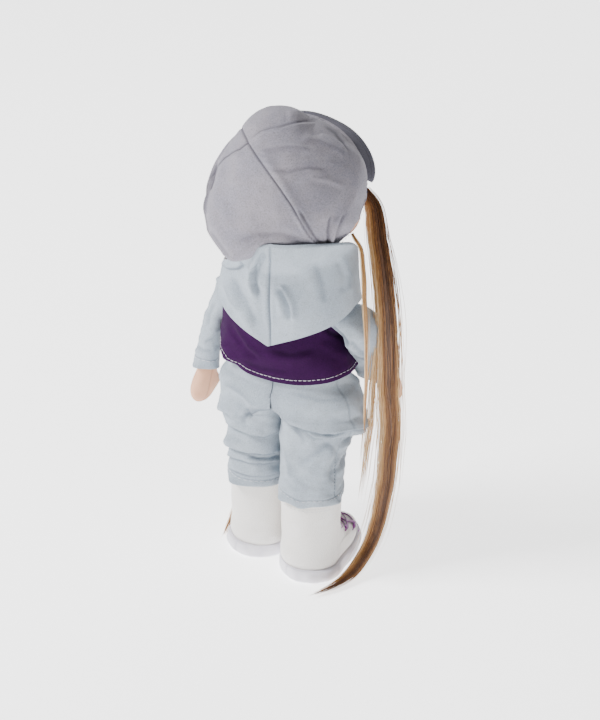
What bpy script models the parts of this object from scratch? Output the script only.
# A dressed rag doll: stuffed head, body and limbs, cap, hooded top, trousers and laced boots.
# Metres, +Z up. The doll looks along -Y, its left hand is at +X, and it stands on Z = 0.
# Every moving piece hangs from an empty that lies on its joint's axis.
import bpy
import bmesh
from math import atan2, cos, degrees, exp, pi, radians, sin, sqrt, tan
from mathutils import Matrix, Vector

# Fits
GAP = 0.0003
CLOTH_GAP = 0.0004
LINER_GAP = 0.0014
OVERRUN = 0.004
CLOTH = 0.0016
LEFT = 1
RIGHT = -1
SIDES = {LEFT: "left", RIGHT: "right"}

# Sides of the round pieces
BODY_SIDES = 26
LIMB_SIDES = 20
LEG_SIDES = 24
HEAD_SIDES = 26
CAP_SIDES = 36
HOOD_SIDES = 32
BOOT_SIDES = 26
LOCK_SIDES = 8
PIN_SIDES = 12
LACE_STEPS = 8
BOW_STEPS = 4
BRIM_STEPS = 16
OVAL = 2
SOFT_OVAL = 2.4

# Hips and legs
HIP_HEIGHT = 0.112
TROUSER_RADIUS = 0.0237
LEG_GAP = 0.0006
HIP_X = TROUSER_RADIUS + LEG_GAP / 2
TROUSER_WALL = 0.0019
LEG_BALL_RADIUS = TROUSER_RADIUS - TROUSER_WALL - CLOTH_GAP
TROUSER_TOP_TILT = radians(42)
TROUSER_FOLD = 0.0014
HEM_RECESS = 0.006
LEG_ROOM = 0.0005
HIP_ROOM = 0.0006
THIGH_SLACK = 0.0019
THIGH_RADIUS = LEG_BALL_RADIUS - THIGH_SLACK
FOOT_STEP_BACK = {LEFT: 0.001, RIGHT: 0.012}

# Boots
SOLE_HEIGHT = 0.009
SOLE_EDGE = 0.0008
SOLE_ROUND = 0.0012
INSOLE_HEIGHT = 0.0015
HEM_OVER_BOOT = 0.001
BOOT_HEIGHT = 0.0605
BOOT_WALL = 0.0013
BOOT_HALF_WIDTH = 0.0207
BOOT_HALF_DEPTH = 0.0195
BOOT_TOE_REACH = 0.052
ANKLE_ROOM = 0.0032
ANKLE_RADIUS = BOOT_HALF_DEPTH - BOOT_WALL - ANKLE_ROOM
BOOT_X = BOOT_HALF_WIDTH + SOLE_EDGE + LEG_GAP / 2 + GAP
TROUSER_END = BOOT_HEIGHT + HEM_OVER_BOOT
LEG_LENGTH = HIP_HEIGHT - SOLE_HEIGHT - INSOLE_HEIGHT - 2 * GAP
LACE_WIDTH = 0.0026
LACE_THICKNESS = 0.0007
LACE_LIFT = 0.0013
BOW_LOOP = 0.0085
BOW_TILT = radians(62)
BOW_TAIL = 0.014

# Stuffed body and neck
TORSO_BOTTOM = HIP_HEIGHT + TROUSER_RADIUS + GAP
TORSO_HEIGHT = 0.0680
TORSO_TOP = TORSO_BOTTOM + TORSO_HEIGHT
TORSO_HALF_WIDTH = 0.0368
TORSO_HALF_DEPTH = 0.0212
NECK_RADIUS = 0.0095
NECK_LENGTH = 0.0210
DOWEL_RADIUS = 0.003
DOWEL_IN_TORSO = 0.032
DOWEL_IN_HEAD = 0.034
BORE_CLEARANCE = 0.0003

# Head
HEAD_RADIUS = 0.0435
HEAD_HEIGHT = TORSO_TOP + NECK_LENGTH + HEAD_RADIUS
HEAD_TURN = radians(-17)
CHEEK_SHARE = 0.06
CHEEK_TILT = radians(136)
CHEEK_SPREAD = radians(28)
EYE_RADIUS = 0.0026
EYE_HEIGHT = 0.0014
EYE_TURN = radians(21)
EYE_TILT = radians(97)
WIG_GAP = 0.0008
WIG_THICKNESS = 0.0014
WIG_TILT = radians(47)
WIG_REACH = radians(101)
WIG_RINGS = 8
NECK_TOP = HEAD_HEIGHT - HEAD_RADIUS - GAP

# Cap
CAP_TILT = radians(46.4)
CAP_LEAN = radians(37)
CAP_WALL = 0.0014
BAND_THICKNESS = 0.0017
BAND_HEIGHT = 0.0095
BAND_INNER = HEAD_RADIUS + WIG_GAP + WIG_THICKNESS + CLOTH_GAP
BAND_RIM = -0.0040
CROWN_EASE = 0.0038
CROWN_RADIUS = BAND_INNER + CROWN_EASE
CROWN_POLE_RADIUS = CROWN_RADIUS + GAP
CROWN_PUFF = 0.0009
CROWN_PANELS = 6
BAG_DEPTH = 0.0060
BAG_TURN = radians(26)
BAG_TILT = radians(76)
BAG_WIDTH = radians(36)
BAG_HEIGHT = radians(17)
CROWN_FOLD = 0.0010
BRIM_REACH = 0.0090
BRIM_THICKNESS = 0.0022
BRIM_HALF_TURN = radians(54)
BRIM_TURN = radians(-25)
BRIM_DROOP = 0.0105

# Top with sleeves and hood
SEAT_DEPTH_ROOM = 0.0033
SEAT_HALF_WIDTH = HIP_X + TROUSER_RADIUS
SEAT_HALF_DEPTH = TROUSER_RADIUS + SEAT_DEPTH_ROOM
SEAT_WALL = 0.0020
SEAT_LOW_WALL = 0.0064
SEAT_LIFT = 0.0085
SEAT_RISE = 0.0160
SEAT_LOW = HIP_HEIGHT + SEAT_LIFT
SEAT_FRONT = TORSO_BOTTOM + HIP_ROOM
SEAT_TOP = TORSO_BOTTOM + SEAT_RISE
seat_tuck_share = 0.920
TOP_NECK_DROP = 0.0020
TOP_END = TORSO_TOP - TOP_NECK_DROP
TOP_HEIGHT = 0.0620
HEM_BACK_HEIGHT = TOP_END - TOP_HEIGHT
HEM_SIDE_RISE = 0.0055
TOP_HALF_WIDTH = SEAT_HALF_WIDTH * seat_tuck_share + CLOTH + CLOTH_GAP
TOP_HALF_DEPTH = SEAT_HALF_DEPTH * seat_tuck_share + CLOTH
TOP_FOLD = 0.0004
HOOD_CLEARANCE = 0.0010
HOOD_SEAT_GAP = 0.0015
HOOD_FRONT_RADIUS = 0.0185
HOOD_RIM_TURN = radians(-26)
HOOD_RIM_DROP = 0.0200
HOOD_RIM_HEIGHT = HEAD_HEIGHT - HOOD_RIM_DROP
HOOD_WALL = 0.0022
HOOD_HALF_WIDTH = 0.0490
HOOD_HALF_DEPTH = 0.0310
HOOD_HANG = 0.0310
HOOD_FRONT_LIFT = 0.0045
HOOD_TIP = TOP_END - HOOD_HANG
HOOD_SIDE_LOW = TOP_END - TOP_NECK_DROP
HOOD_FRONT_RIM = TOP_END + HOOD_FRONT_LIFT
HOOD_TWIST = radians(-12)
HOOD_FOLD = 0.0012

# Arms
SHOULDER_DROP = 0.022
SHOULDER_HEIGHT = TORSO_TOP - SHOULDER_DROP
SHOULDER_BALL = 0.0105
shoulder_width_share = 0.837
SHOULDER_HALF_WIDTH = TORSO_HALF_WIDTH * shoulder_width_share
SHOULDER_FORWARD = radians(28)
SHOULDER_NUB_RADIUS = 0.0045
SHOULDER_NUB_REACH = 0.0175
ARM_OFFSET = 0.0070
ARM_LENGTH = 0.0920
ARM_RADIUS = 0.0083
SLEEVE_PUFF = 0.0040
SLEEVE_BALL = SHOULDER_BALL + SLEEVE_PUFF
ARMHOLE_ROOM = 0.0009
SLEEVE_ROOM = 0.0039
SLEEVE_RADIUS = ARM_RADIUS + SLEEVE_ROOM
SLEEVE_LENGTH = 0.0640
SLEEVE_WALL = 0.0013
SLEEVE_FOLD = 0.0008
SLEEVE_INNER_REACH = SHOULDER_BALL + CLOTH_GAP + SLEEVE_WALL
SHOULDER_X = SHOULDER_HALF_WIDTH + GAP + SLEEVE_INNER_REACH
ARM_SPLAY = {LEFT: radians(17), RIGHT: radians(16)}
ARM_SWING = {LEFT: radians(-3), RIGHT: radians(33)}
THREAD_RADIUS = 0.0008
THREAD_REACH = 0.006
THREAD_IN_BODY = 0.0105
EYELET_TURN = radians(11)

# Long hair: half width and half thickness of each lock at its fullest
LOCK_LIFT = 0.0006
LOCK_RIGHT_HALF_WIDTH = 0.0073
LOCK_RIGHT_HALF_THICKNESS = 0.0037
LOCK_LEFT_HALF_WIDTH = 0.0066
LOCK_LEFT_HALF_THICKNESS = 0.0034
STRAND_HALF_WIDTH = 0.0019
STRAND_HALF_THICKNESS = 0.0013

# Rows of shares: height up the body, half width, half depth
torso_shares = (
    (0.00, 0.86, 0.80), (0.035, 0.95, 0.93), (0.12, 0.99, 0.99), (0.24, 1.00, 1.00),
    (0.38, 0.965, 0.97), (0.52, 0.90, 0.91), (0.62, 0.857, 0.84), (0.72, 0.81, 0.77),
    (0.82, 0.73, 0.68), (0.90, 0.56, 0.56), (0.95, 0.39, 0.48),
)
torso_neck_share = 1.0
# Rows of shares: height up the top, half width, half depth
top_shares = (
    (0.00, 1.00, 1.00), (0.07, 0.995, 1.005), (0.17, 0.955, 0.99), (0.30, 0.875, 0.95),
    (0.47, 0.79, 0.89), (0.65, 0.738, 0.80), (0.84, 0.665, 0.69), (0.94, 0.52, 0.60), (1.00, 0.385, 0.53),
)
top_liner_from_share = 0.26
# Rows of shares: height up the seat, half width, half depth, and the outline's power
seat_shares = (
    (0.00, 0.975, 0.97, 3.2), (0.15, 1.00, 1.00, 3.2), (0.38, 1.00, 1.00, 3.0), (0.50, 0.972, 0.95, 2.8),
    (0.58, 0.925, 0.905, 2.5), (0.66, 0.885, 0.885, 2.4), (0.82, 0.86, 0.88, 2.3), (1.00, 0.86, 0.88, 2.2),
)
seat_ring_shares = (0.00, 0.16, 0.46, 0.62, 0.80, 1.00)
# Rows of shares: drop from the hip to the trouser end, half width, half depth
trouser_shares = (
    (0.05, 0.998, 0.985), (0.11, 0.99, 0.955), (0.18, 0.98, 0.935), (0.26, 0.965, 0.93), (0.34, 0.955, 0.93),
    (0.42, 0.95, 0.93), (0.50, 0.945, 0.93), (0.58, 0.94, 0.93), (0.66, 0.93, 0.93),
    (0.74, 0.925, 0.925), (0.83, 0.92, 0.92), (0.92, 0.908, 0.912), (1.00, 0.895, 0.90),
)
# Rows of one soft fold: turn in degrees from the outer side to the back, spread, drop share, spread, height
trouser_fold_shares = {
    LEFT: (
        (95, 60, 0.18, 0.045, 0.9), (60, 50, 0.34, 0.045, 1.0), (45, 60, 0.50, 0.045, 0.9),
        (100, 60, 0.66, 0.045, 1.0), (50, 55, 0.83, 0.045, 1.0), (280, 70, 0.34, 0.05, 0.7),
        (300, 60, 0.66, 0.05, 0.8), (260, 60, 0.83, 0.05, 0.7),
    ),
    RIGHT: (
        (80, 70, 0.18, 0.045, 1.0), (35, 40, 0.26, 0.035, 0.9), (20, 40, 0.66, 0.05, 0.5),
        (110, 45, 0.92, 0.04, 0.8), (285, 70, 0.34, 0.05, 0.8), (300, 60, 0.58, 0.05, 0.8),
        (265, 60, 0.83, 0.05, 0.7),
    ),
}
# Rows of shares: drop from the hip to the insole, radius from ankle 0 to thigh 1, and the step back
leg_shares = (
    (0.06, 1.10, 0.00), (0.14, 1.02, 0.03), (0.23, 0.90, 0.18), (0.32, 0.62, 0.48),
    (0.40, 0.34, 0.80), (0.47, 0.16, 0.98), (0.70, 0.00, 1.00), (0.94, 0.08, 1.00),
)
leg_end_share = 0.82
# Shares of the tilt at which the trouser leg's ball ends: rings within it, and the leg's own above it
trouser_top_shares = (0.0, 0.5, 1.0)
leg_top_shares = (2.05, 1.80, 1.40)
# Rows of shares: drop down the arm, half width, half depth, in limb radii
arm_shares = (
    (0.10, 1.04, 1.10), (0.22, 0.99, 1.03), (0.38, 0.905, 0.96), (0.54, 0.80, 0.86),
    (0.64, 0.74, 0.80), (0.72, 0.78, 0.94), (0.80, 0.84, 1.10), (0.88, 0.80, 1.08), (0.95, 0.62, 0.82),
    (0.985, 0.36, 0.48),
)
# Rows of shares: drop down the sleeve, half width, half depth, in sleeve radii
sleeve_shares = (
    (0.17, 1.03, 1.09), (0.30, 0.985, 1.01), (0.43, 0.925, 0.94), (0.57, 0.85, 0.87),
    (0.71, 0.80, 0.81), (0.86, 0.77, 0.78), (1.00, 0.76, 0.77),
)
cuff_from_share = 0.66
# Rows: turn in degrees from the outer side to the back, spread, drop share, spread, height share
sleeve_fold_shares = (
    (80, 60, 0.34, 0.06, 0.8), (40, 50, 0.55, 0.05, 1.0), (110, 50, 0.72, 0.05, 1.0),
    (300, 60, 0.50, 0.06, 0.9), (60, 60, 0.87, 0.04, 0.7),
)
# Rows of shares: height up the boot, half width, how far the toe has come in, back of the heel
boot_shares = (
    (0.00, 0.97, 0.02, 0.97), (0.07, 1.00, 0.00, 1.00), (0.20, 1.00, 0.08, 0.995), (0.31, 0.98, 0.26, 0.98),
    (0.41, 0.96, 0.60, 0.96), (0.53, 0.965, 0.90, 0.96), (1.00, 1.00, 1.00, 1.00),
)
boot_waist_share = 0.055
# Rows of shares round the boot and up it, from the front seam: one lace end to the other
lace_shares = (
    ((-0.60, 0.380), (0.60, 0.265)), ((0.60, 0.380), (-0.60, 0.265)),
    ((-0.60, 0.500), (0.60, 0.385)), ((0.60, 0.500), (-0.60, 0.385)),
)
bow_height_share = 0.442
knot_share = 0.7
# Rows: polar angle over the rim's polar angle, and the crown's bulge share
crown_shares = (0.12, 0.26, 0.40, 0.54, 0.67, 0.79, 0.90, 1.00)
crown_liner_shares = (0.96, 0.80, 0.60, 0.38, 0.18)
# Rows of a crease in the crown: turn and polar angle in degrees, spreads, and height share
crown_fold_shares = (
    (-5, 52, 10, 22, 1.0), (14, 50, 10, 22, -1.2), (100, 80, 8, 14, 0.8), (122, 80, 8, 14, -0.9),
    (140, 78, 8, 14, 0.8), (-95, 60, 40, 8, -0.8),
)
# Rows of the hood's section: share from its low edge to its rim, and how far in from its outer face, in walls
hood_outer_shares = (0.00, 0.12, 0.30, 0.52, 0.76, 1.00)
hood_pocket_shares = (0.97, 0.76, 0.52, 0.34, 0.24)
hood_collar_shares = (0.00, 0.28, 0.56, 0.80, 1.00)
hood_front_from_share = 0.55

# Rows of shares along each lock: across and back in head radii, up in head heights, then its own size
lock_path_shares = {
    "hair_lock_right": (
        (-0.910, -0.552, 0.9888, 0.47, 0.49), (-1.115, -0.517, 0.9534, 0.77, 0.76),
        (-1.333, -0.391, 0.8752, 0.96, 0.92), (-1.506, -0.241, 0.7747, 1.00, 0.97),
        (-1.598, -0.161, 0.6704, 0.99, 0.97), (-1.586, -0.161, 0.5587, 0.96, 1.00),
        (-1.529, -0.175, 0.4469, 0.93, 1.00), (-1.464, -0.172, 0.3352, 0.90, 0.97),
        (-1.416, -0.143, 0.2309, 0.86, 0.92), (-1.356, -0.080, 0.1341, 0.79, 0.84),
        (-1.287, 0.069, 0.0633, 0.71, 0.73), (-1.207, 0.322, 0.0242, 0.66, 0.59),
        (-1.103, 0.632, 0.0127, 0.55, 0.49), (-0.954, 0.943, 0.0089, 0.25, 0.27),
    ),
    "hair_strand_right": (
        (-1.011, 0.023, 0.9199, 0.63, 0.77), (-1.103, 0.069, 0.8939, 0.84, 0.92),
        (-1.218, 0.161, 0.8417, 1.00, 1.00), (-1.322, 0.241, 0.7672, 1.00, 1.00),
        (-1.402, 0.287, 0.6890, 0.89, 0.92), (-1.437, 0.299, 0.6034, 0.74, 0.77),
        (-1.437, 0.287, 0.5028, 0.58, 0.62), (-1.425, 0.264, 0.4097, 0.32, 0.38),
    ),
    "hair_lock_left": (
        (0.853, -0.655, 1.0320, 0.45, 0.53), (0.901, -0.759, 0.9832, 0.79, 0.76),
        (0.851, -0.920, 0.9125, 0.94, 0.91), (0.759, -1.011, 0.8380, 0.98, 0.97),
        (0.690, -1.034, 0.7449, 1.00, 1.00), (0.655, -0.989, 0.6331, 0.97, 1.00),
        (0.667, -0.954, 0.5326, 0.94, 0.97), (0.759, -0.943, 0.4097, 0.91, 0.94),
        (0.897, -0.897, 0.2980, 0.85, 0.88), (1.034, -0.782, 0.1937, 0.76, 0.82),
        (1.126, -0.598, 0.0968, 0.67, 0.71), (1.172, -0.345, 0.0335, 0.58, 0.59),
        (1.149, -0.046, 0.0134, 0.45, 0.47), (1.080, 0.276, 0.0082, 0.21, 0.26),
    ),
}

# Colour, roughness and metallic value of each finish
finishes = {
    "skin_cotton": ((0.90, 0.72, 0.60), 0.85, 0.0),
    "cap_cotton": ((0.40, 0.38, 0.43), 0.90, 0.0),
    "jersey": ((0.50, 0.57, 0.63), 0.90, 0.0),
    "purple_jersey": ((0.035, 0.010, 0.075), 0.85, 0.0),
    "boot_leather": ((0.82, 0.80, 0.78), 0.45, 0.0),
    "sole_foam": ((0.84, 0.83, 0.86), 0.80, 0.0),
    "ribbon": ((0.26, 0.0, 0.26), 0.35, 0.0),
    "hair": ((0.24, 0.11, 0.04), 0.40, 0.0),
    "beech": ((0.70, 0.50, 0.30), 0.60, 0.0),
    "thread": ((0.85, 0.82, 0.76), 0.70, 0.0),
    "bead": ((0.01, 0.01, 0.01), 0.15, 0.0),
}


# Scene set-up

def clear_scene():
    for item in list(bpy.data.objects):
        bpy.data.objects.remove(item)


def finish(name):
    colour, roughness, metallic = finishes[name]
    made = bpy.data.materials.new(name)
    made.use_nodes = True
    shader = made.node_tree.nodes["Principled BSDF"]
    shader.inputs["Base Color"].default_value = (*colour, 1.0)
    shader.inputs["Roughness"].default_value = roughness
    shader.inputs["Metallic"].default_value = metallic
    return made


def empty(name, place, turn=(0, 0, 0), parent=None):
    made = bpy.data.objects.new(name, None)
    bpy.context.scene.collection.objects.link(made)
    made.location = place
    made.rotation_euler = turn
    made.parent = parent
    return made


def piece(name, mesh_rows, parent, material, smooth=True):
    made = bpy.data.objects.new(name, mesh_rows)
    bpy.context.scene.collection.objects.link(made)
    made.parent = parent
    mesh_rows.name = name
    mesh_rows.materials.clear()
    mesh_rows.materials.append(finish(material))
    mesh_rows.materials[0].name = name + "_" + material
    if smooth:
        mesh_rows.shade_smooth()
        mesh_rows.set_sharp_from_angle(angle=radians(50))
    return made


# Mesh building

def superellipse(angle, half_width, half_depth, power):
    c = cos(angle)
    s = sin(angle)
    x = half_width * (1 if c >= 0 else -1) * abs(c) ** (2 / power)
    y = half_depth * (1 if s >= 0 else -1) * abs(s) ** (2 / power)
    return x, y


def ring(centre, half_width, half_depth, sides, power=OVAL, grow=None):
    # grow gives how far each point moves outward, from its angle
    points = []
    for step in range(sides):
        angle = 2 * pi * step / sides
        x, y = superellipse(angle, half_width, half_depth, power)
        if grow:
            out = Vector((x, y, 0)).normalized() * grow(angle)
            x += out.x
            y += out.y
        points.append(Vector((centre[0] + x, centre[1] + y, centre[2])))
    return points


def loft(rings, loop=False):
    # Joins rings of equal count: a closed tube when loop is set, a solid with fanned ends when not
    made = bmesh.new()
    rows = [[made.verts.new(p) for p in points] for points in rings]
    count = len(rows[0])
    pairs = list(zip(rows, rows[1:]))
    if loop:
        pairs.append((rows[-1], rows[0]))
    for low, high in pairs:
        for i in range(count):
            j = (i + 1) % count
            made.faces.new((low[i], low[j], high[j], high[i]))
    if not loop:
        for row in (rows[0], rows[-1]):
            middle = sum((v.co for v in row), Vector()) / count
            tip = made.verts.new(middle)
            for i in range(count):
                made.faces.new((row[i], row[(i + 1) % count], tip))
    return sealed(made)


def dome(outer, outer_pole, inner, inner_pole):
    # A shell with one open rim: outer rings from its pole to the rim, inner rings from the rim to its pole
    made = bmesh.new()
    rows = [[made.verts.new(p) for p in points] for points in list(outer) + list(inner)]
    count = len(rows[0])
    for low, high in zip(rows, rows[1:]):
        for i in range(count):
            j = (i + 1) % count
            made.faces.new((low[i], low[j], high[j], high[i]))
    for row, pole in ((rows[0], outer_pole), (rows[-1], inner_pole)):
        tip = made.verts.new(pole)
        for i in range(count):
            made.faces.new((row[i], row[(i + 1) % count], tip))
    return sealed(made)


def sealed(made):
    bmesh.ops.recalc_face_normals(made, faces=made.faces)
    if made.calc_volume(signed=True) < 0:
        bmesh.ops.reverse_faces(made, faces=made.faces)
    mesh_rows = bpy.data.meshes.new("form")
    made.to_mesh(mesh_rows)
    made.free()
    return mesh_rows


def mirrored(mesh_rows, side):
    # Forms are drawn with +X outward, so the right-hand ones are turned over
    if side == RIGHT:
        mesh_rows.transform(Matrix.Diagonal((-1, 1, 1, 1)))
        mesh_rows.flip_normals()
    return mesh_rows


def rod(radius, low, high, sides=PIN_SIDES):
    # A round bar along Z
    return loft([ring((0, 0, low), radius, radius, sides), ring((0, 0, high), radius, radius, sides)])


def cutter(name, mesh_rows, parent, place=(0, 0, 0), turn=(0, 0, 0)):
    made = bpy.data.objects.new(name, mesh_rows)
    bpy.context.scene.collection.objects.link(made)
    made.parent = parent
    made.location = place
    made.rotation_euler = turn
    made.hide_render = True
    made.display_type = "WIRE"
    return made


def combine(target, tool, operation="DIFFERENCE"):
    change = target.modifiers.new(tool.name, "BOOLEAN")
    change.operation = operation
    change.solver = "EXACT"
    change.object = tool


def bell(value, middle, spread):
    return exp(-((value - middle) / spread) ** 2)


def angle_gap(a, b):
    return (a - b + 180) % 360 - 180


def folds(rows, depth, angle, share):
    # The sum of the soft folds in a table at one angle and one share of the length
    turn = degrees(angle)
    total = 0
    for middle, spread, at, wide, height in rows:
        total += height * bell(angle_gap(turn, middle), 0, spread) * bell(share, at, wide)
    return depth * total


def blend(low, high, share):
    return low + (high - low) * share


# Stuffed body

def torso_ring(row, grow=0):
    share, wide, deep = row
    z = TORSO_BOTTOM + TORSO_HEIGHT * share
    return ring((0, 0, z), TORSO_HALF_WIDTH * wide + grow, TORSO_HALF_DEPTH * deep + grow, BODY_SIDES)


def torso_size(height):
    # Half width and half depth of the stuffed body at a height, between the rows of its table
    share = (height - TORSO_BOTTOM) / TORSO_HEIGHT
    neck_row = (torso_neck_share, NECK_RADIUS / TORSO_HALF_WIDTH, NECK_RADIUS / TORSO_HALF_DEPTH)
    rows = torso_shares + (neck_row,)
    for low, high in zip(rows, rows[1:]):
        if share <= high[0]:
            part = max(0, (share - low[0]) / (high[0] - low[0]))
            wide = blend(low[1], high[1], part)
            deep = blend(low[2], high[2], part)
            return TORSO_HALF_WIDTH * wide, TORSO_HALF_DEPTH * deep
    return NECK_RADIUS, NECK_RADIUS


def make_torso(doll):
    rings = [torso_ring(row) for row in torso_shares]
    neck_low = TORSO_BOTTOM + TORSO_HEIGHT * torso_neck_share
    for z in (neck_low, (neck_low + NECK_TOP) / 2, NECK_TOP):
        rings.append(ring((0, 0, z), NECK_RADIUS, NECK_RADIUS, BODY_SIDES))
    body = piece("torso", loft(rings), doll, "skin_cotton")
    low = NECK_TOP - DOWEL_IN_TORSO
    bore = rod(DOWEL_RADIUS + BORE_CLEARANCE, low, NECK_TOP + OVERRUN)
    combine(body, cutter("neck_bore", bore, doll))
    dowel = rod(DOWEL_RADIUS, low + GAP, NECK_TOP + DOWEL_IN_HEAD - GAP)
    piece("neck_dowel", dowel, doll, "beech")
    return body


# Head, wig and eyes, drawn round the head's centre

def head_reach(tilt):
    # Distance from the head's centre to its cloth, at an angle from straight up
    return HEAD_RADIUS * (1 - CHEEK_SHARE * bell(tilt, CHEEK_TILT, CHEEK_SPREAD))


def make_head(pivot):
    rings = []
    steps = HEAD_SIDES // 2
    for i in range(1, steps):
        tilt = pi * i / steps
        reach = head_reach(tilt)
        rings.append(ring((0, 0, reach * cos(tilt)), reach * sin(tilt), reach * sin(tilt), HEAD_SIDES))
    made = bmesh.new()
    rows = [[made.verts.new(p) for p in points] for points in rings]
    for low, high in zip(rows, rows[1:]):
        for i in range(HEAD_SIDES):
            j = (i + 1) % HEAD_SIDES
            made.faces.new((low[i], low[j], high[j], high[i]))
    for row, z in ((rows[0], HEAD_RADIUS), (rows[-1], -HEAD_RADIUS)):
        tip = made.verts.new((0, 0, z))
        for i in range(HEAD_SIDES):
            made.faces.new((row[i], row[(i + 1) % HEAD_SIDES], tip))
    head = piece("head", sealed(made), pivot, "skin_cotton")
    bore = rod(DOWEL_RADIUS + BORE_CLEARANCE, -HEAD_RADIUS - OVERRUN, -HEAD_RADIUS + DOWEL_IN_HEAD)
    combine(head, cutter("head_bore", bore, pivot))
    for side in SIDES:
        place = EYE_TURN * side
        out = head_reach(EYE_TILT) + GAP
        at = Vector((sin(EYE_TILT) * sin(place), -sin(EYE_TILT) * cos(place), cos(EYE_TILT)))
        rings = []
        for share in (0, 0.35, 0.7, 0.92):
            reach = EYE_RADIUS * sqrt(1 - share * share)
            rings.append(ring((0, 0, EYE_HEIGHT * share), reach, reach, PIN_SIDES))
        bead = piece("eye_" + SIDES[side], loft(rings), pivot, "bead")
        bead.location = at * out
        bead.rotation_mode = "QUATERNION"
        bead.rotation_quaternion = at.to_track_quat("Z", "Y")
    return head


def polar_point(tilt, turn, reach_of, lean):
    # A point round an axis that leans back from straight up; reach_of takes the angle from straight up
    local = Vector((sin(tilt) * cos(turn), sin(tilt) * sin(turn), cos(tilt)))
    out = Matrix.Rotation(-lean, 3, "X") @ local
    upright = atan2(sqrt(out.x * out.x + out.y * out.y), out.z)
    return out * reach_of(upright)


def make_wig(pivot):
    def face(height):
        return lambda upright: head_reach(upright) + height

    def rings_at(steps, height):
        turns = [2 * pi * i / HEAD_SIDES for i in range(HEAD_SIDES)]
        tilts = [WIG_REACH * i / WIG_RINGS for i in steps]
        return [[polar_point(tilt, t, face(height), WIG_TILT) for t in turns] for tilt in tilts]

    steps = range(1, WIG_RINGS + 1)
    outer = rings_at(steps, WIG_GAP + WIG_THICKNESS)
    inner = rings_at(reversed(steps), WIG_GAP)
    poles = [polar_point(0, 0, face(h), WIG_TILT) for h in (WIG_GAP + WIG_THICKNESS, WIG_GAP)]
    piece("hair_wig", dome(outer, poles[0], inner, poles[1]), pivot, "hair")


# Cap, drawn round its own axis with its brim toward -Y

def crown_reach(tilt, turn, rim_tilt, rim_reach):
    # Distance from the head's centre to the crown's outer face
    share = tilt / rim_tilt
    full = blend(CROWN_POLE_RADIUS, CROWN_RADIUS, min(1, share * 1.8))
    reach = blend(full, rim_reach, max(0, (share - 0.72) / 0.28) ** 2)
    seam = abs(cos(turn * CROWN_PANELS / 2)) ** 0.5
    reach += CROWN_PUFF * (seam - 0.6) * sin(pi * share) ** 0.5 if 0 < share < 1 else 0
    bag_turn = radians(angle_gap(degrees(turn), degrees(BAG_TURN)))
    reach += BAG_DEPTH * bell(bag_turn, 0, BAG_WIDTH) * bell(tilt, BAG_TILT, BAG_HEIGHT)
    for middle, at, wide, tall, height in crown_fold_shares:
        crease = bell(angle_gap(degrees(turn), middle), 0, wide) * bell(degrees(tilt), at, tall)
        reach += CROWN_FOLD * height * crease * (1 - share ** 6)
    return reach


def crown_point(tilt, turn, reach):
    return Vector((sin(tilt) * cos(turn), sin(tilt) * sin(turn), cos(tilt))) * reach


def make_cap(seat):
    outer_radius = BAND_INNER + BAND_THICKNESS
    low = BAND_RIM + BAND_HEIGHT + GAP
    rim_tilt = atan2(outer_radius, low)
    rim_reach = sqrt(outer_radius ** 2 + low ** 2)
    turns = [2 * pi * (i + 0.5) / CAP_SIDES for i in range(CAP_SIDES)]
    outer = []
    for share in crown_shares:
        tilt = rim_tilt * share
        outer.append([crown_point(tilt, t, crown_reach(tilt, t, rim_tilt, rim_reach)) for t in turns])
    inner = [[Vector((BAND_INNER * cos(t), BAND_INNER * sin(t), low)) for t in turns]]
    for share in crown_liner_shares:
        tilt = rim_tilt * share
        reaches = [max(crown_reach(tilt, t, rim_tilt, rim_reach) - CAP_WALL, BAND_INNER) for t in turns]
        inner.append([crown_point(tilt, t, reach) for t, reach in zip(turns, reaches)])
    poles = (Vector((0, 0, CROWN_POLE_RADIUS)), Vector((0, 0, CROWN_POLE_RADIUS - CAP_WALL)))
    piece("cap_crown", dome(outer, poles[0], inner, poles[1]), seat, "cap_cotton")

    # The band is a flat ring of cloth below the crown
    heights = (BAND_RIM, BAND_RIM + BAND_HEIGHT / 2, BAND_RIM + BAND_HEIGHT)
    belly = (0, BAND_THICKNESS / 4, 0)
    rings = [[Vector(((outer_radius + b) * cos(t), (outer_radius + b) * sin(t), z)) for t in turns]
             for z, b in zip(heights, belly)]
    rings += [[Vector((BAND_INNER * cos(t), BAND_INNER * sin(t), z)) for t in turns] for z in heights[::-1]]
    piece("cap_band", loft(rings, loop=True), seat, "cap_cotton")
    make_brim(seat, outer_radius + BAND_THICKNESS / 4)


def make_brim(seat, root):
    # A crescent that stands out from the band's lower half and curves down over the brow
    across = BRIM_STEPS
    lengthwise = 3
    made = bmesh.new()
    faces = {}
    for layer in (0, 1):
        for i in range(across + 1):
            turn = BRIM_HALF_TURN * (2 * i / across - 1)
            reach = BRIM_REACH * max(0, 1 - abs(turn / BRIM_HALF_TURN) ** 2.6) ** 0.55 + BRIM_THICKNESS
            for j in range(lengthwise + 1):
                share = j / lengthwise
                out = root + GAP + reach * share
                thick = BRIM_THICKNESS * (1 - 0.35 * share)
                z = BAND_RIM + BRIM_THICKNESS / 2 + (layer - 0.5) * thick
                z -= BRIM_DROOP * share ** 1.4 * cos(turn)
                way = turn + BRIM_TURN
                faces[layer, i, j] = made.verts.new((out * sin(way), -out * cos(way), z))
    for i in range(across):
        for j in range(lengthwise):
            for layer in (0, 1):
                corners = ((i, j), (i + 1, j), (i + 1, j + 1), (i, j + 1))
                made.faces.new([faces[layer, a, b] for a, b in corners])
    for i in range(across):
        for j in (0, lengthwise):
            made.faces.new([faces[a, b, j] for a, b in ((0, i), (0, i + 1), (1, i + 1), (1, i))])
    for j in range(lengthwise):
        for i in (0, across):
            made.faces.new([faces[a, i, b] for a, b in ((0, j), (0, j + 1), (1, j + 1), (1, j))])
    piece("cap_brim", sealed(made), seat, "cap_cotton")


# Top: body, hood and sleeves

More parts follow.
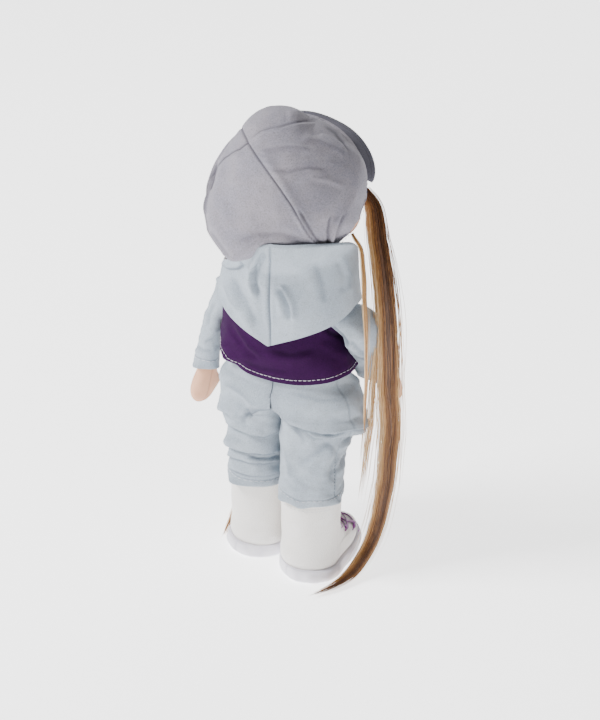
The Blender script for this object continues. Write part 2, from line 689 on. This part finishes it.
def hem_height(angle):
    # The hem hangs lowest at the back
    return HEM_BACK_HEIGHT + HEM_SIDE_RISE * (1 - max(0, sin(angle)) ** 2)


def top_point(row, angle, grow=0):
    share, wide, deep = row
    x, y = superellipse(angle, TOP_HALF_WIDTH * wide, TOP_HALF_DEPTH * deep, SOFT_OVAL)
    base = hem_height(angle)
    z = blend(base, TOP_END, share)
    out = Vector((x, y, 0))
    half_width, half_depth = torso_size(z)
    room = LINER_GAP + CLOTH
    body = Vector((*superellipse(angle, half_width + room, half_depth + room, OVAL), 0))
    if body.length > out.length:
        out = body
    out += out.normalized() * (grow + TOP_FOLD * sin(5 * angle + 1) * bell(share, 0.12, 0.2))
    out.z = z
    return out


def make_top(doll, shoulders):
    angles = [2 * pi * i / BODY_SIDES for i in range(BODY_SIDES)]
    rings = [[top_point(row, a) for a in angles] for row in top_shares]
    liner = []
    for row in top_shares[::-1]:
        points = []
        for a in angles:
            point = top_point(row, a, -CLOTH)
            half_width, half_depth = torso_size(point.z)
            x, y = superellipse(a, half_width + LINER_GAP, half_depth + LINER_GAP, OVAL)
            if row[0] > top_liner_from_share:
                point.x = x
                point.y = y
            points.append(point)
        liner.append(points)
    body = piece("hoodie_body", loft(rings + liner, loop=True), doll, "purple_jersey")
    for side, pivot in shoulders.items():
        ball = make_ball(SLEEVE_BALL + ARMHOLE_ROOM)
        combine(body, cutter("armhole_" + SIDES[side], ball, pivot))


def make_ball(radius, sides=LIMB_SIDES):
    made = bmesh.new()
    bmesh.ops.create_uvsphere(made, u_segments=sides, v_segments=sides // 2, radius=radius)
    return sealed(made)


def hood_low(turn):
    # Height of the hood's lower edge, round from the back seam
    around = abs(angle_gap(degrees(turn), 0))
    side = min(1, around / 84)
    return blend(HOOD_TIP, HOOD_SIDE_LOW, side ** 1.15)


def hood_rim(turn):
    around = abs(angle_gap(degrees(turn), degrees(HOOD_RIM_TURN))) / 180
    return blend(HOOD_RIM_HEIGHT, HOOD_FRONT_RIM, 1 / (1 + exp(-(around - 0.44) * 9)))


def sweep_radius(height):
    # How far the turning head and cap reach from the neck's axis at a height
    whole = CROWN_RADIUS + CROWN_FOLD + HOOD_CLEARANCE
    drop = HEAD_HEIGHT - height
    return sqrt(max(0, whole ** 2 - drop ** 2))


def hood_point(turn, share, inset):
    low = hood_low(turn)
    high = hood_rim(turn)
    z = blend(low, high, share)
    swing = turn + HOOD_TWIST * share * bell(degrees(turn), 0, 80)
    half_width = HOOD_HALF_WIDTH
    half_depth = HOOD_HALF_DEPTH
    x = half_width * sin(swing)
    y = half_depth * cos(swing)
    reach = sqrt(x * x + y * y)
    pleat = HOOD_FOLD * (bell(degrees(turn), 24, 9) + bell(degrees(turn), -30, 10))
    pleat *= sin(pi * min(1, share + 0.15)) ** 2
    clear = sweep_radius(z) + HOOD_WALL
    around = abs(angle_gap(degrees(turn), 0)) / 180
    front = max(0, around - hood_front_from_share) / (1 - hood_front_from_share)
    reach = max(reach - (reach - half_depth) * 0.25 * share, clear) + pleat
    reach = blend(reach, HOOD_FRONT_RADIUS, front ** 0.8)
    reach -= HOOD_WALL * inset
    return Vector((reach * sin(swing), reach * cos(swing), z))


def make_hood(doll):
    rings = []
    turns = [2 * pi * (i + 0.5) / HOOD_SIDES for i in range(HOOD_SIDES)]
    section = []
    for share in hood_outer_shares:
        section.append(lambda t, s=share: hood_point(t, s, 0))
    for share in hood_pocket_shares:
        section.append(lambda t, s=share: hood_point(t, s, 1.0))

    def collar(turn, share, lift):
        # The layer against the back, from the pocket up to the neckline
        z = blend(hood_low(turn) + HOOD_WALL, TOP_END + HOOD_WALL, share)
        x, y = superellipse(pi / 2 - turn, *top_size(min(z, TOP_END)), SOFT_OVAL)
        out = Vector((x, y, 0))
        out += out.normalized() * (HOOD_SEAT_GAP + lift)
        out.z = z + lift * share
        return out

    for share in hood_collar_shares[1:]:
        section.append(lambda t, s=share: collar(t, s, HOOD_WALL))
    for share in hood_collar_shares[::-1]:
        section.append(lambda t, s=share: collar(t, s, 0))
    for spot in section:
        rings.append([spot(t) for t in turns])
    piece("hood", loft(rings, loop=True), doll, "jersey")


def top_size(height):
    # Half width and half depth of the top's outer face at a height
    share = (height - HEM_BACK_HEIGHT) / TOP_HEIGHT
    for low, high in zip(top_shares, top_shares[1:]):
        if share <= high[0]:
            part = max(0, (share - low[0]) / (high[0] - low[0]))
            wide = blend(low[1], high[1], part)
            deep = blend(low[2], high[2], part)
            return TOP_HALF_WIDTH * wide, TOP_HALF_DEPTH * deep
    return TOP_HALF_WIDTH * top_shares[-1][1], TOP_HALF_DEPTH * top_shares[-1][2]


def arm_rings(side, grow=0):
    # The shoulder ball, then the arm below it, which stands out from the axis
    rings = []
    ball = SHOULDER_BALL + grow
    outer = ARM_OFFSET + ARM_RADIUS
    for share in (0.94, 0.74, 0.42, 0.0, -0.42):
        k = sqrt(1 - share * share)
        inner_edge = -ball * k
        outer_edge = (outer + grow) * (k if share > 0 else 1)
        outer_edge += max(0, -share) * ball * tan(ARM_SPLAY[side])
        centre = ((inner_edge + outer_edge) / 2, 0, ball * share)
        depth = blend(ball * k, ARM_RADIUS * arm_shares[0][2] + grow, 1 - k if share < 0 else 0)
        rings.append(ring(centre, (outer_edge - inner_edge) / 2, depth, LIMB_SIDES))
    for drop, wide, deep in arm_shares:
        z = -ARM_LENGTH * drop
        x = ARM_OFFSET - z * tan(ARM_SPLAY[side])
        rings.append(ring((x, 0, z), ARM_RADIUS * wide + grow, ARM_RADIUS * deep + grow, LIMB_SIDES))
    return rings


def sleeve_rings(side):
    rings = []
    outer = ARM_OFFSET + SLEEVE_RADIUS
    for share in (0.96, 0.80, 0.50, 0.10, -0.30):
        k = sqrt(1 - share * share)
        inner_edge = -SLEEVE_INNER_REACH * (k if share > 0 else 1 + share)
        outer_edge = outer * (k if share > 0 else 1)
        outer_edge += max(0, -share) * SLEEVE_BALL * tan(ARM_SPLAY[side])
        depth = SLEEVE_BALL * (k if share > 0 else 1)
        centre = ((inner_edge + outer_edge) / 2, 0, SLEEVE_BALL * share)
        rings.append(ring(centre, (outer_edge - inner_edge) / 2, depth, LIMB_SIDES))
    for drop, wide, deep in sleeve_shares:
        z = -SLEEVE_LENGTH * drop
        x = ARM_OFFSET - z * tan(ARM_SPLAY[side])
        grow = None
        if drop < 1:
            grow = (lambda a, d=drop: folds(sleeve_fold_shares, SLEEVE_FOLD, a, d))
        rings.append(ring((x, 0, z), SLEEVE_RADIUS * wide, SLEEVE_RADIUS * deep, LIMB_SIDES, OVAL, grow))
    return rings


def sleeve_hollow(side):
    # The arm's own room down to the cuff, which opens wider than the wrist
    low = -SLEEVE_LENGTH * cuff_from_share
    rings = [points for points in arm_rings(side, CLOTH_GAP) if points[0].z > low]
    for drop, wide, deep in sleeve_shares[-3:]:
        z = -SLEEVE_LENGTH * drop
        x = ARM_OFFSET - z * tan(ARM_SPLAY[side])
        half_width = SLEEVE_RADIUS * wide - SLEEVE_WALL
        half_depth = SLEEVE_RADIUS * deep - SLEEVE_WALL
        rings.append(ring((x, 0, z), half_width, half_depth, LIMB_SIDES))
    rings.append([p - Vector((0, 0, OVERRUN)) for p in rings[-1]])
    return rings


def make_arm(side, pivot):
    arm = piece("arm_" + SIDES[side], mirrored(loft(arm_rings(side)), side), pivot, "skin_cotton")
    sleeve = piece("sleeve_" + SIDES[side], mirrored(loft(sleeve_rings(side)), side), pivot, "jersey")
    combine(sleeve, cutter("sleeve_bore_" + SIDES[side], mirrored(loft(sleeve_hollow(side)), side), pivot))


def across_bar(side, radius, inner, outer):
    # A round bar along the arm's axis, from inner to outer of the shoulder's middle
    bar = rod(radius, inner, outer)
    bar.transform(Matrix.Rotation(pi / 2, 4, "Y"))
    return mirrored(bar, side)


def make_thread(side, pivot, torso):
    # A doubled thread along the arm's axis, from the shoulder ball into a stuffed nub on the body
    label = SIDES[side]
    inner = -SHOULDER_BALL - THREAD_IN_BODY
    thread = across_bar(side, THREAD_RADIUS, inner, THREAD_REACH)
    piece("arm_thread_" + label, thread, pivot, "thread")
    nub = Vector((-SHOULDER_NUB_REACH * side, 0, 0))
    stub = make_ball(SHOULDER_NUB_RADIUS, PIN_SIDES)
    combine(torso, cutter("shoulder_nub_" + label, stub, pivot, nub), "UNION")
    bore = across_bar(side, THREAD_RADIUS + GAP, inner - GAP, THREAD_REACH + GAP)
    hole = cutter("thread_bore_" + label, bore, pivot)
    combine(torso, hole)
    combine(bpy.data.objects["arm_" + label], hole)
    room = make_ball(SHOULDER_NUB_RADIUS + LINER_GAP, PIN_SIDES)
    combine(bpy.data.objects["hoodie_body"], cutter("nub_room_" + label, room, pivot, nub))
    eyelet = across_bar(side, THREAD_RADIUS + CLOTH_GAP, -SLEEVE_INNER_REACH - CLOTH_GAP, -SHOULDER_BALL / 2)
    eyelet.transform(Matrix.Rotation(EYELET_TURN, 4, "X"))
    combine(bpy.data.objects["sleeve_" + label], cutter("sleeve_eyelet_" + label, eyelet, pivot))


# Trousers and legs, drawn round the hip

def make_seat(doll):
    def point(ring_share, angle, grow):
        back = max(0, sin(angle)) ** 0.6
        z = blend(blend(SEAT_FRONT, SEAT_LOW, back), SEAT_TOP, ring_share)
        share = (z - SEAT_LOW) / (SEAT_TOP - SEAT_LOW)
        low, high = next(pair for pair in zip(seat_shares, seat_shares[1:]) if share <= pair[1][0] + 1e-9)
        part = (share - low[0]) / (high[0] - low[0])
        wide, deep, power = [blend(a, b, part) for a, b in zip(low[1:], high[1:])]
        out = Vector((*superellipse(angle, SEAT_HALF_WIDTH * wide, SEAT_HALF_DEPTH * deep, power), 0))
        half_width, half_depth = torso_size(z)
        room = CLOTH_GAP + SEAT_WALL
        body = Vector((*superellipse(angle, half_width + room, half_depth + room, OVAL), 0))
        if body.length > out.length:
            out = body
        out += out.normalized() * grow
        out.z = z
        return out

    angles = [2 * pi * i / BODY_SIDES for i in range(BODY_SIDES)]
    outer = [[point(share, a, 0) for a in angles] for share in seat_ring_shares]
    inner = []
    for share in seat_ring_shares[::-1]:
        points = [point(share, a, -SEAT_WALL) for a in angles]
        for i, a in enumerate(angles):
            if points[i].z < TORSO_BOTTOM - CLOTH_GAP:
                points[i] = point(share, a, -SEAT_LOW_WALL)
        inner.append(points)
    seat = piece("trouser_seat", loft(outer + inner, loop=True), doll, "jersey")
    for side in SIDES:
        ball = make_ball(TROUSER_RADIUS + HIP_ROOM, LEG_SIDES)
        combine(seat, cutter("hip_room_" + SIDES[side], ball, doll, (HIP_X * side, 0, HIP_HEIGHT)))


def leg_centre(side, share):
    # Where the leg's middle lies, from the hip down to the insole
    for low, high in zip(leg_shares, leg_shares[1:]):
        if share <= high[0]:
            part = max(0, (share - low[0]) / (high[0] - low[0]))
            back = blend(low[2], high[2], part)
            return (BOOT_X - HIP_X) * min(1, share / 0.6), FOOT_STEP_BACK[side] * back
    return BOOT_X - HIP_X, FOOT_STEP_BACK[side]


def leg_ring(side, row, grow=0):
    drop, full, back = row
    x, y = leg_centre(side, drop)
    radius = blend(ANKLE_RADIUS, THIGH_RADIUS, full) + grow
    return ring((x, y, -LEG_LENGTH * drop), radius, radius, LEG_SIDES)


def make_leg(side, pivot):
    rings = []
    for share in leg_top_shares + trouser_top_shares[::-1]:
        tilt = TROUSER_TOP_TILT * share
        radius = TROUSER_RADIUS if share > 1 else LEG_BALL_RADIUS
        rings.append(ring((0, 0, radius * sin(tilt)), radius * cos(tilt), radius * cos(tilt), LEG_SIDES))
    rings += [leg_ring(side, row) for row in leg_shares]
    radius = ANKLE_RADIUS * leg_end_share
    x, y = leg_centre(side, 1)
    rings.append(ring((x, y, -LEG_LENGTH), radius, radius, LEG_SIDES))
    piece("leg_" + SIDES[side], mirrored(loft(rings), side), pivot, "skin_cotton")
    make_trouser_leg(side, pivot)


def make_trouser_leg(side, pivot):
    drop_all = HIP_HEIGHT - TROUSER_END

    def centre(share):
        return leg_centre(side, share * drop_all / LEG_LENGTH)

    rings = []
    for share in trouser_top_shares[::-1]:
        tilt = TROUSER_TOP_TILT * share
        radius = TROUSER_RADIUS * cos(tilt)
        rings.append(ring((0, 0, TROUSER_RADIUS * sin(tilt)), radius, radius, LEG_SIDES))
    for drop, wide, deep in trouser_shares:
        x, y = centre(drop)
        edge = 1 - bell(drop, 1, 0.03)
        grow = (lambda a, d=drop, e=edge: e * folds(trouser_fold_shares[side], TROUSER_FOLD, a, d))
        centre_point = (x, y, -drop_all * drop)
        half_width = TROUSER_RADIUS * wide
        half_depth = TROUSER_RADIUS * deep
        rings.append(ring(centre_point, half_width, half_depth, LEG_SIDES, SOFT_OVAL, grow))
    # Back up the inside, straight behind the hem and then along the leg
    for z in (-drop_all, -drop_all + HEM_RECESS):
        x, y = centre(-z / drop_all)
        wide = TROUSER_RADIUS * trouser_shares[-1][1] - CLOTH
        deep = TROUSER_RADIUS * trouser_shares[-1][2] - CLOTH
        rings.append(ring((x, y, z), wide, deep, LEG_SIDES, SOFT_OVAL))
    for row in leg_shares[::-1]:
        if LEG_LENGTH * row[0] < drop_all - HEM_RECESS:
            rings.append(leg_ring(side, row, LEG_ROOM))
    inner = LEG_BALL_RADIUS + CLOTH_GAP
    for share in trouser_top_shares:
        tilt = TROUSER_TOP_TILT * share
        rings.append(ring((0, 0, inner * sin(tilt)), inner * cos(tilt), inner * cos(tilt), LEG_SIDES))
    piece("trouser_leg_" + SIDES[side], mirrored(loft(rings, loop=True), side), pivot, "jersey")


# Boots, drawn round the ankle's middle on the floor, with the toe toward -Y

def boot_size(share, grow=0):
    # Half width, front and back of the boot at a share of its height above the sole
    for low, high in zip(boot_shares, boot_shares[1:]):
        if share <= high[0]:
            part = max(0, (share - low[0]) / (high[0] - low[0]))
            wide, toe, back = [blend(a, b, part) for a, b in zip(low[1:], high[1:])]
            break
    else:
        wide, toe, back = boot_shares[-1][1:]
    front = blend(BOOT_TOE_REACH, BOOT_HALF_DEPTH, toe)
    return BOOT_HALF_WIDTH * wide + grow, front + grow, BOOT_HALF_DEPTH * back + grow, toe


def boot_point(share, angle, grow=0):
    # One superellipse for the heel half and one for the toe half, with a slight waist between
    wide, front, back, toe = boot_size(share, grow)
    depth = back if sin(angle) >= 0 else front
    x, y = superellipse(angle, wide, depth, blend(SOFT_OVAL, OVAL, toe) if sin(angle) < 0 else OVAL)
    x *= 1 - boot_waist_share * (1 - toe) * bell(y, -BOOT_HALF_DEPTH / 2, BOOT_HALF_DEPTH / 2)
    z = SOLE_HEIGHT + GAP + (BOOT_HEIGHT - SOLE_HEIGHT - GAP) * share
    return Vector((x, y, z))


def boot_ring(share, grow=0, z=None):
    points = [boot_point(share, 2 * pi * i / BOOT_SIDES, grow) for i in range(BOOT_SIDES)]
    if z is not None:
        for p in points:
            p.z = z
    return points


def make_boot(side, pivot):
    label = SIDES[side]
    shares = [row[0] for row in boot_shares]
    rings = [boot_ring(s) for s in shares] + [boot_ring(s, -BOOT_WALL) for s in shares[::-1]]
    piece("boot_upper_" + label, mirrored(loft(rings, loop=True), side), pivot, "boot_leather")
    half_round = SOLE_ROUND / 2
    sole = [boot_ring(0, SOLE_EDGE - SOLE_ROUND, 0), boot_ring(0, SOLE_EDGE, SOLE_ROUND)]
    sole.append(boot_ring(0, SOLE_EDGE, SOLE_HEIGHT - half_round))
    sole.append(boot_ring(0, SOLE_EDGE - half_round, SOLE_HEIGHT))
    piece("boot_sole_" + label, mirrored(loft(sole), side), pivot, "sole_foam")
    inset = -BOOT_WALL - GAP
    insole = [boot_ring(0, inset, SOLE_HEIGHT + GAP), boot_ring(0, inset, SOLE_HEIGHT + GAP + INSOLE_HEIGHT)]
    piece("boot_insole_" + label, mirrored(loft(insole), side), pivot, "sole_foam")
    make_lace(side, pivot)


def on_boot(across, share, lift):
    # A point over the instep: across runs from -1 to 1 between the ankle's sides, round the front
    return boot_point(share, -pi / 2 + across * pi / 2, lift)


def lace_strip(start, end):
    # One flat ribbon that follows the instep from start to end
    rows = []
    for i in range(LACE_STEPS + 1):
        part = i / LACE_STEPS
        across = blend(start[0], end[0], part)
        share = blend(start[1], end[1], part)
        half = LACE_WIDTH / 2 / (BOOT_HEIGHT - SOLE_HEIGHT)
        top = LACE_LIFT + LACE_THICKNESS
        rows.append([on_boot(across, share - half, LACE_LIFT), on_boot(across, share + half, LACE_LIFT),
                     on_boot(across, share + half, top), on_boot(across, share - half, top)])
    return loft(rows)


def bow_part(side_way, tail):
    # A loop or a tail of the bow, drawn from the knot outward and down
    rows = []
    length = BOW_TAIL if tail else BOW_LOOP
    for i in range(BOW_STEPS + 1):
        part = i / BOW_STEPS
        x = side_way * length * (part * 0.75 if tail else part)
        drop = -length * (part ** 1.3) * (0.75 if tail else 0.18)
        fat = LACE_THICKNESS if tail else LACE_THICKNESS + LACE_WIDTH * 0.8 * sin(pi * part)
        wide = LACE_WIDTH * (0.9 if tail else 0.7 + 0.5 * sin(pi * part))
        corners = ((-1, -1), (1, -1), (1, 1), (-1, 1))
        rows.append([Vector((x, sy * fat / 2, drop + sz * wide / 2)) for sy, sz in corners])
    return loft(rows)


def make_lace(side, pivot):
    label = SIDES[side]
    strips = [lace_strip(start, end) for start, end in lace_shares]
    lace = piece("boot_lace_" + label, mirrored(strips[0], side), pivot, "ribbon", smooth=False)
    for number, strip in enumerate(strips[1:]):
        combine(lace, cutter("lace_%s_%d" % (label, number), mirrored(strip, side), pivot), "UNION")
    knot_at = on_boot(0, bow_height_share, LACE_LIFT + LACE_THICKNESS / 2)
    knot = make_ball(LACE_WIDTH * knot_share, PIN_SIDES)
    lift = Vector((0, -cos(BOW_TILT), sin(BOW_TILT))) * LACE_WIDTH * knot_share
    slope = -BOW_TILT
    combine(lace, cutter("bow_knot_" + label, knot, pivot, knot_at + lift * 0.9, (slope, 0, 0)), "UNION")
    for way in SIDES:
        for tail in (False, True):
            name = "bow_%s_%s_%s" % ("tail" if tail else "loop", SIDES[way], label)
            combine(lace, cutter(name, bow_part(way, tail), pivot, knot_at + lift, (slope, 0, 0)), "UNION")


# Long hair, drawn in the doll's own place and then hung from the head

def make_locks(doll, pivot):
    full_sizes = {
        "hair_lock_right": (LOCK_RIGHT_HALF_WIDTH, LOCK_RIGHT_HALF_THICKNESS),
        "hair_lock_left": (LOCK_LEFT_HALF_WIDTH, LOCK_LEFT_HALF_THICKNESS),
        "hair_strand_right": (STRAND_HALF_WIDTH, STRAND_HALF_THICKNESS),
    }
    for name, rows in lock_path_shares.items():
        half_width, half_thickness = full_sizes[name]
        points = [Vector((row[0] * HEAD_RADIUS, row[1] * HEAD_RADIUS, row[2] * HEAD_HEIGHT)) for row in rows]
        rings = []
        for i, row in enumerate(rows):
            ahead = points[min(i + 1, len(points) - 1)]
            behind = points[max(i - 1, 0)]
            way = (ahead - behind).normalized()
            across = Vector((1, 0, 0)) - way * way.x
            across.normalize()
            deep = way.cross(across)
            ring_points = []
            for step in range(LOCK_SIDES):
                angle = 2 * pi * step / LOCK_SIDES
                p = points[i] + across * half_width * row[3] * cos(angle)
                p += deep * half_thickness * row[4] * sin(angle)
                p.z = max(p.z, LOCK_LIFT)
                ring_points.append(p)
            rings.append(ring_points)
        lock = piece(name, loft(rings), pivot, "hair")
        lock.matrix_parent_inverse = (doll.matrix_world.inverted() @ pivot.matrix_world).inverted()


def centre_on_floor(doll):
    # Stands the doll with the middle of its whole plan over the origin
    bpy.context.view_layer.update()
    corners = []
    for item in bpy.data.objects:
        if item.type == "MESH" and not item.hide_render:
            corners += [item.matrix_world @ v.co for v in item.data.vertices]
    for axis in (0, 1):
        low = min(c[axis] for c in corners)
        high = max(c[axis] for c in corners)
        doll.location[axis] = -(low + high) / 2


def build():
    clear_scene()
    doll = empty("doll", (0, 0, 0))
    head_pivot = empty("head_turn_axis", (0, 0, HEAD_HEIGHT), (0, 0, HEAD_TURN), doll)
    cap_seat = empty("cap_axis", (0, 0, 0), (-CAP_TILT, 0, CAP_LEAN), head_pivot)
    shoulders = {}
    hips = {}
    boots = {}
    for side in SIDES:
        label = SIDES[side]
        at = (SHOULDER_X * side, 0, SHOULDER_HEIGHT)
        shoulder = empty("shoulder_" + label, at, (0, 0, -SHOULDER_FORWARD * side), doll)
        swing = (-ARM_SWING[side], 0, 0)
        shoulders[side] = empty("arm_swing_axis_" + label, (0, 0, 0), swing, shoulder)
        hips[side] = empty("leg_swing_axis_" + label, (HIP_X * side, 0, HIP_HEIGHT), (0, 0, 0), doll)
        foot = ((BOOT_X - HIP_X) * side, FOOT_STEP_BACK[side], -HIP_HEIGHT)
        boots[side] = empty("boot_axis_" + label, foot, (0, 0, 0), hips[side])
    bpy.context.view_layer.update()
    torso = make_torso(doll)
    make_top(doll, shoulders)
    make_hood(doll)
    make_seat(doll)
    make_head(head_pivot)
    make_wig(head_pivot)
    make_locks(doll, head_pivot)
    make_cap(cap_seat)
    for side in SIDES:
        make_arm(side, shoulders[side])
        make_thread(side, shoulders[side], torso)
        make_leg(side, hips[side])
        make_boot(side, boots[side])
    centre_on_floor(doll)
    bpy.context.view_layer.update()
    pivots = {"head": head_pivot, "cap": cap_seat}
    for side, label in SIDES.items():
        pivots["arm_" + label] = shoulders[side]
        pivots["leg_" + label] = hips[side]
        pivots["boot_" + label] = boots[side]
    for name, pivot in pivots.items():
        frame = pivot.matrix_world
        print("axis of", name, "at", [round(v, 6) for v in frame.translation],
              "x", [round(v, 6) for v in frame.col[0][:3]], "z", [round(v, 6) for v in frame.col[2][:3]])


build()
